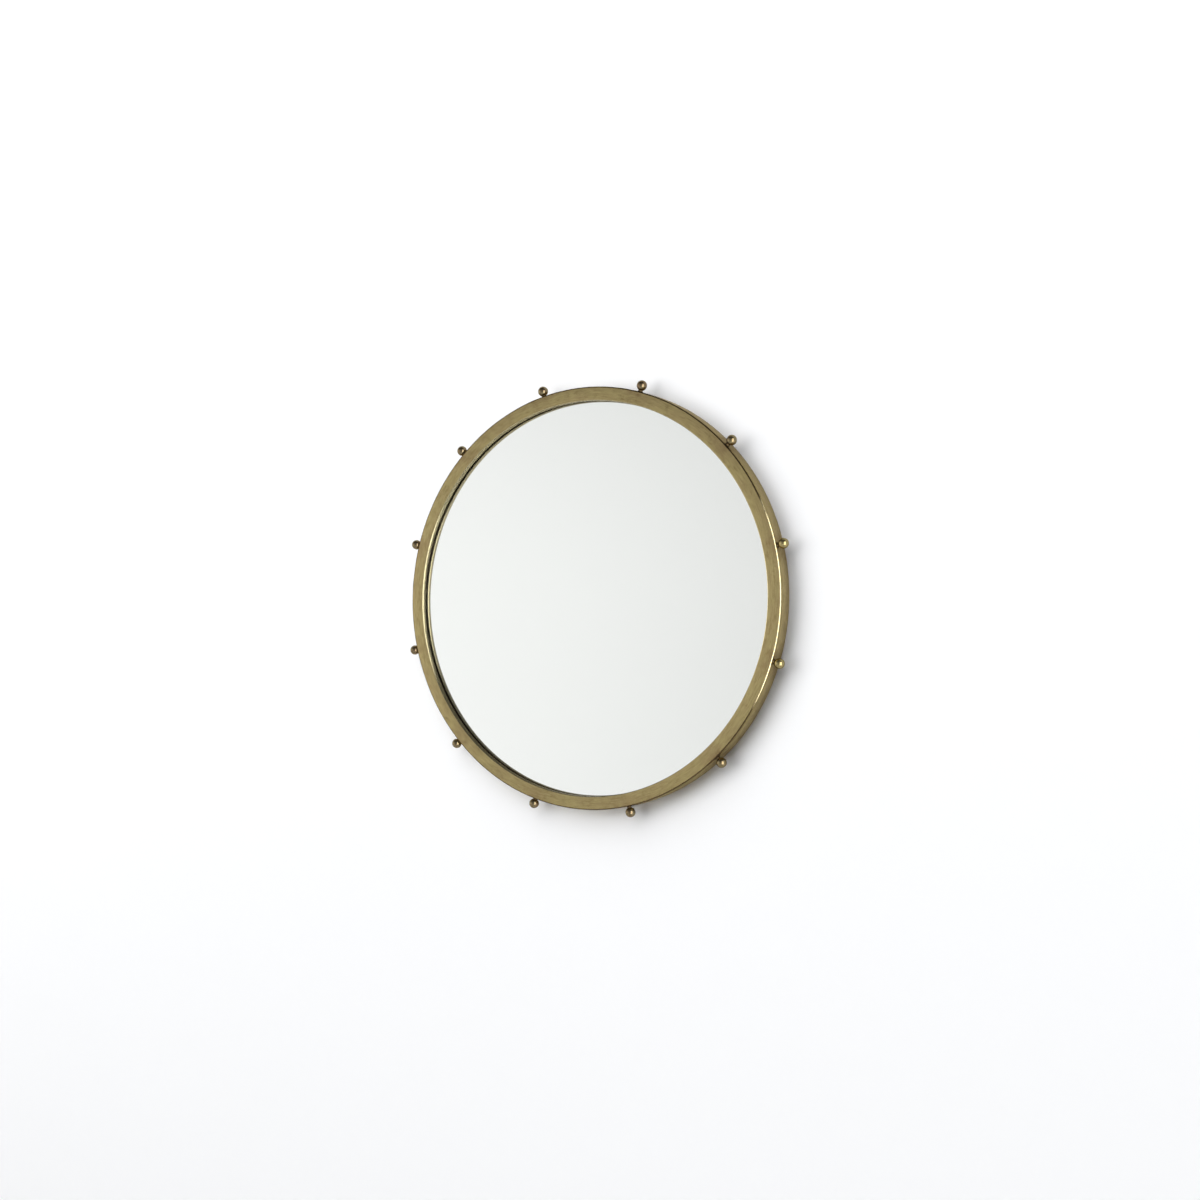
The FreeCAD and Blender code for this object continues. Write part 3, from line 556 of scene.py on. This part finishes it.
def bead_axis(clock_angle):
    """Local Z points away from the centre line at this clock angle, in the beads' plane."""
    out = Vector((math.sin(clock_angle), 0, math.cos(clock_angle)))
    side = Vector((math.cos(clock_angle), 0, -math.sin(clock_angle)))
    back = Vector((0, 1, 0))
    turn = Matrix((side, back, out)).transposed().to_4x4()
    return Matrix.Translation(back * BEAD_PLANE) @ turn


def drift(angle, waves, layer):
    """Smooth noise between about -1 and 1 that closes on itself around the turn."""
    return noise.noise(Vector((math.cos(angle) * waves, math.sin(angle) * waves, layer)))


def make_ring(brass):
    """The channel, a little uneven as a rolled and hand-dressed one is. The unevenness leads
    inwards, so that the ring stays within the constructed one.
    """

    def outline_at(angle):
        outer = RING_OUTER + RING_UNEVENNESS * (drift(angle, 3, 1) + 0.5 * drift(angle, 14, 2) - 0.5)
        front = RING_FRONT + FACE_UNEVENNESS * (drift(angle, 4, 3) + 1)
        edge = EDGE_ROUND + EDGE_ROUND_CHANGE * (drift(angle, 9, 4) + 0.6 * drift(angle, 30, 5))
        lip_edge = LIP_ROUND + EDGE_ROUND_CHANGE / 2 * drift(angle, 11, 6)
        return rounded(
            [
                (outer, front, edge),
                (outer, RING_REAR, CUT_EDGE_ROUND),
                (RING_OUTER - SHEET, RING_REAR, CUT_EDGE_ROUND),
                (RING_OUTER - SHEET, RING_FRONT + SHEET, CUT_EDGE_ROUND),
                (RING_INNER + SHEET, RING_FRONT + SHEET, CUT_EDGE_ROUND),
                (RING_INNER + SHEET, RING_FRONT + LIP_DEPTH, CUT_EDGE_ROUND),
                (RING_INNER, RING_FRONT + LIP_DEPTH, CUT_EDGE_ROUND),
                (RING_INNER, front, lip_edge),
            ]
        )

    ring = add_piece("frame_channel", turned(outline_at, RING_SEGMENTS, CENTRE_LINE), brass)
    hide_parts("frame_ring")


def make_bead(number, brass):
    """A ball with a flat seat, the blind bore for its screw, and shallow dents."""
    clock_angle = FIRST_BEAD + number * BEAD_STEP

    def outline_at(angle):
        points = [
            (0, BEAD_SEAT + BORE_DEPTH),
            (SCREW_BORE, BEAD_SEAT + BORE_DEPTH - SCREW_BORE),
            (SCREW_BORE, BEAD_SEAT + BORE_CHAMFER),
            (SCREW_BORE + BORE_CHAMFER, BEAD_SEAT),
        ]
        for step in range(BEAD_ARC_STEPS + 1):
            tilt = SEAT_ANGLE + (math.pi - SEAT_ANGLE) * step / BEAD_ARC_STEPS
            across = math.sin(tilt)
            way = Vector((math.cos(angle) * across, math.sin(angle) * across, -math.cos(tilt)))
            dent = noise.noise(way * LARGE_DENTS + Vector((number, 0, 0)))
            dent += SMALL_DENT_SHARE * noise.noise(way * SMALL_DENTS)
            radius = BEAD_RADIUS + BEAD_UNEVENNESS * (dent - 0.7) * across
            points.append((radius * across, BEAD_CENTRE - radius * math.cos(tilt)))
        return points

    name = "bead_%02d" % (number + 1)
    ball = add_piece("ball_" + name, turned(outline_at, BEAD_SEGMENTS, bead_axis(clock_angle)), brass)
    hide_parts(name)


def make_necks(braze):
    """Collars under the beads, brazed to the frame and to the balls."""
    base = RING_OUTER - NECK_SINK
    top_angle = math.asin((NECK_RADIUS + BRAZE_RISE) / BEAD_RADIUS)

    def make(grid):
        for number in range(BEAD_COUNT):
            clock_angle = FIRST_BEAD + number * BEAD_STEP

            def outline_at(angle):
                flare = NECK_FLARE * (1 + FLARE_CHANGE * drift(angle, 1.5, number + FLARE_LAYER))
                rise = BRAZE_RISE * (RISE_SHARE + RISE_CHANGE * drift(angle, 2, number + RISE_LAYER))
                points = [(NECK_BORE, base), (NECK_BORE, BEAD_SEAT), (NECK_RADIUS, BEAD_SEAT)]

                # Up over the foot of the ball
                for share in (1 / 3, 2 / 3, 1):
                    tilt = SEAT_ANGLE + (top_angle - SEAT_ANGLE) * share * rise / BRAZE_RISE
                    out = BEAD_RADIUS * math.sin(tilt)
                    points.append((out, BEAD_CENTRE - BEAD_RADIUS * math.cos(tilt)))

                # Back in to the neck, hollowed
                top_out, top_height = points[-1]
                for share in (0.3, 0.6, 0.85, 1):
                    curve = 1 - math.sqrt(1 - (1 - share) ** 2)
                    out = NECK_RADIUS + (top_out - NECK_RADIUS) * curve
                    points.append((out, top_height + (BEAD_SEAT - rise - top_height) * share))

                # Out again onto the frame
                for step in range(ROUND_STEPS + 1):
                    tilt = math.pi / 2 * step / ROUND_STEPS
                    out = NECK_RADIUS + flare * (1 - math.cos(tilt))
                    points.append((out, base + flare - flare * math.sin(tilt)))
                return points

            turned(outline_at, NECK_SEGMENTS, bead_axis(clock_angle))(grid)

    necks = add_piece("bead_necks", make, braze)
    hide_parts("bead_collars")


def make_pane(glass):
    """The glass, which stops just short of the silver so that the two don't share a plane."""
    back = GLASS_BACK - SILVER_GAP
    outline = [
        (0, GLASS_FRONT),
        (GLASS_RADIUS - GLASS_ARRIS, GLASS_FRONT),
        (GLASS_RADIUS, GLASS_FRONT + GLASS_ARRIS),
        (GLASS_RADIUS, back - GLASS_ARRIS),
        (GLASS_RADIUS - GLASS_ARRIS, back),
        (0, back),
    ]
    pane = add_piece("glass_pane", turned(lambda angle: outline, GLASS_SEGMENTS, CENTRE_LINE), glass)
    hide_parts("mirror_glass")


def dress_nodes():
    """Give the pieces that stay as constructed their materials."""
    zinc = make_zinc("zinc_plate", colour(184, 181, 168), 0.32)
    screw = make_zinc("screw_plate", colour(190, 184, 164), 0.26)
    finishes = {
        "screw_steel": screw,
        "zinc_steel": zinc,
        "black_foam": make_foam(),
        "silvering": make_silver(),
        "black_rubber": make_rubber(),
        "fibreboard": make_fibreboard(),
    }
    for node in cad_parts.values():
        for holder in node.material_slots:
            finish = finishes.get(holder.material.name)
            if finish:
                holder.material = finish


def wall_paint():
    """Matt white, and clear from behind so that the mirror's back can be looked at."""
    material, nodes, shader = new_material(
        "white_wall",
        Base_Color=WALL_WHITE,
        Roughness=1.0,
        Specular_IOR_Level=0.0,
    )
    clear = nodes.add("BsdfTransparent").outputs[0]
    behind = nodes.add("NewGeometry").outputs["Backfacing"]
    mixed = nodes.add("MixShader", behind, shader.outputs[0], clear).outputs[0]
    output = next(n for n in nodes.tree.nodes if n.type == "OUTPUT_MATERIAL")
    nodes.feed(output.inputs["Surface"], mixed)
    return material


def floor_paint():
    """Matt and pale to the camera and in reflections. It throws little light up to the wall."""
    material, nodes, shader = new_material("pale_floor", Roughness=1.0, Specular_IOR_Level=0.0)
    path = nodes.add("LightPath").outputs
    seen = nodes.math("MAXIMUM", path["Is Camera Ray"], path["Is Glossy Ray"])
    seen = nodes.math("MAXIMUM", seen, path["Is Transmission Ray"])
    nodes.feed(shader.inputs["Base Color"], nodes.mix(seen, FLOOR_THROWN, FLOOR_SEEN))
    return material


def make_stage():
    """A white wall that starts at the frame's rear edge, and a pale floor well below."""

    def wall(grid):
        """Sheet with a round hole behind the frame, so that the mirror's back gets light."""
        hole = RING_OUTER - WALL_HOLE_INSET
        inner = []
        outer = []
        for number in range(WALL_SEGMENTS):
            angle = FULL_TURN * (number + 0.5) / WALL_SEGMENTS
            x, z = math.sin(angle), math.cos(angle)
            inner.append(grid.verts.new((hole * x, WALL_GAP, hole * z)))
            stretch = 1 / max(abs(x), abs(z))
            height = WALL_HEIGHT - FLOOR_BELOW_CENTRE if z > 0 else FLOOR_BELOW_CENTRE
            outer.append(grid.verts.new((WALL_HALF_WIDTH * x * stretch, WALL_GAP, height * z * stretch)))
        for number in range(WALL_SEGMENTS):
            following = (number + 1) % WALL_SEGMENTS
            grid.faces.new((inner[number], inner[following], outer[following], outer[number]))

    def floor(grid):
        bottom = -FLOOR_BELOW_CENTRE
        corners = [(-1, WALL_GAP), (1, WALL_GAP), (1, -FLOOR_DEPTH), (-1, -FLOOR_DEPTH)]
        grid.faces.new([grid.verts.new((WALL_HALF_WIDTH * side, y, bottom)) for side, y in corners])

    for name, maker, material, faces_to in (
        ("backdrop_wall", wall, wall_paint(), Vector((0, -1, 0))),
        ("backdrop_floor", floor, floor_paint(), Vector((0, 0, 1))),
    ):
        mesh = bpy.data.meshes.new(name)
        grid = bmesh.new()
        maker(grid)
        for face in grid.faces:
            face.normal_update()
            if face.normal.dot(faces_to) < 0:
                face.normal_flip()
        grid.to_mesh(mesh)
        grid.free()
        mesh.materials.append(material)
        stage = bpy.data.objects.new(name, mesh)
        bpy.context.scene.collection.objects.link(stage)


def make_world():
    """A dim room with a large pale screen at the front left, which the mirror shows, and pale
    behind the wall. To the camera it is plain white. Matt surfaces get a low even level from it,
    also by way of polished ones, so the brass throws no warm light on the wall.
    """
    world = bpy.data.worlds.new("studio")
    world.use_nodes = True
    bpy.context.scene.world = world
    nodes = Nodes(world.node_tree)
    way = nodes.add("TexCoord").outputs["Generated"]
    x, y, z = nodes.add("SeparateXYZ", way).outputs
    screen = nodes.fade(x, SCREEN_LEFT, SCREEN_RIGHT, SCREEN_LEVEL, ROOM_LEVEL)
    screen = nodes.math("ADD", screen, nodes.fade(x, GLOW_LEFT, SCREEN_LEFT, LEFT_GLOW, 0.0))
    steep = nodes.math("ABSOLUTE", nodes.math("SUBTRACT", z, SCREEN_TILT))
    front = nodes.fade(steep, SCREEN_TOP, SCREEN_END, screen, DARK_LEVEL)
    level = nodes.fade(y, FRONT_END, BEHIND_START, front, BEHIND_LEVEL)
    path = nodes.add("LightPath").outputs
    mirrored = nodes.math("MAXIMUM", path["Is Glossy Ray"], path["Is Transmission Ray"])
    mirrored = nodes.math("MULTIPLY", mirrored, nodes.unscattered())
    shown = nodes.mix(mirrored, MATT_LIGHT, nodes.combine(level, level, level))
    shown = nodes.mix(path["Is Camera Ray"], shown, WHITE)
    room = nodes.add("Background", shown, 1.0)
    nodes.feed(nodes.add("OutputWorld").inputs["Surface"], room.outputs[0])


def direction(azimuth, elevation):
    """Unit vector away from the mirror; azimuth 0 is straight in front, 90 to the right."""
    a, e = math.radians(azimuth), math.radians(elevation)
    return Vector((math.sin(a) * math.cos(e), -math.cos(a) * math.cos(e), math.sin(e)))


def add_lamp(name, kind, azimuth, elevation, power, **settings):
    """A lamp that points at the mirror."""
    data = bpy.data.lights.new(name, kind)
    data.energy = power
    for key, value in settings.items():
        setattr(data, key, value)
    lamp = bpy.data.objects.new(name, data)
    way = direction(azimuth, elevation)
    lamp.location = way * LAMP_DISTANCE
    lamp.rotation_mode = "QUATERNION"
    lamp.rotation_quaternion = way.to_track_quat("Z", "Y")
    bpy.context.scene.collection.objects.link(lamp)
    return lamp


def make_lamps():
    """Wide soft lights for matt surfaces, and softboxes that polished ones show. No light of a
    softbox reaches a matt surface, not even by way of a polished one.
    """
    for name, azimuth, elevation, strength, spread in (
        ("key_left", -40, -3, 2.04, 50),
        ("key_above", -13, 46, 2.38, 68),
        ("key_behind", 150, 35, 3.4, 60),
    ):
        key = add_lamp(name, "SUN", azimuth, elevation, strength, angle=math.radians(spread))
        key.visible_glossy = False
        key.visible_transmission = False
    for name, azimuth, elevation, watts, width, height in (
        ("softbox_right", 55, -2, 84, 1.9, 3.4),
        ("softbox_behind", 205, 25, 40, 2.2, 1.4),
    ):
        settings = {"shape": "RECTANGLE", "size": width, "size_y": height}
        softbox = add_lamp(name, "AREA", azimuth, elevation, watts, **settings)
        softbox.visible_diffuse = False
        softbox.data.use_nodes = True
        nodes = Nodes(softbox.data.node_tree)
        shine = nodes.add("Emission", WHITE, nodes.unscattered())
        nodes.feed(nodes.add("OutputLight").inputs["Surface"], shine.outputs[0])


def make_camera():
    """The photograph's camera, placed so that the mirror's centre shows at its pixel."""
    back = direction(CAMERA_AZIMUTH, CAMERA_ELEVATION)
    azimuth = math.radians(CAMERA_AZIMUTH)
    roll = math.radians(CAMERA_ROLL)
    level = Vector((math.cos(azimuth), math.sin(azimuth), 0))
    rise = back.cross(level)
    right = level * math.cos(roll) - rise * math.sin(roll)
    up = level * math.sin(roll) + rise * math.cos(roll)
    aside = (CENTRE_PIXEL[0] - AXIS_PIXEL[0]) / FOCAL_PIXELS * CAMERA_DISTANCE
    above = (AXIS_PIXEL[1] - CENTRE_PIXEL[1]) / FOCAL_PIXELS * CAMERA_DISTANCE
    data = bpy.data.cameras.new("camera")
    data.sensor_width = SENSOR_WIDTH_MM
    data.lens = FOCAL_PIXELS / PICTURE_SIDE * SENSOR_WIDTH_MM
    half = PICTURE_SIDE / 2
    data.shift_x = (half - AXIS_PIXEL[0]) / PICTURE_SIDE
    data.shift_y = (AXIS_PIXEL[1] - half) / PICTURE_SIDE
    camera = bpy.data.objects.new("camera", data)
    turn = Matrix((right, up, back)).transposed().to_4x4()
    place = back * CAMERA_DISTANCE - right * aside - up * above
    camera.matrix_world = Matrix.Translation(place) @ turn
    bpy.context.scene.collection.objects.link(camera)
    bpy.context.scene.camera = camera


make_camera()
make_world()
make_lamps()
make_stage()
make_ring(make_ring_brass())
BALL_BRASS = make_ball_brass()
for bead_number in range(BEAD_COUNT):
    make_bead(bead_number, BALL_BRASS)
make_necks(make_braze())
make_pane(make_glass())
dress_nodes()

bpy.context.scene.view_settings.view_transform = "Standard"
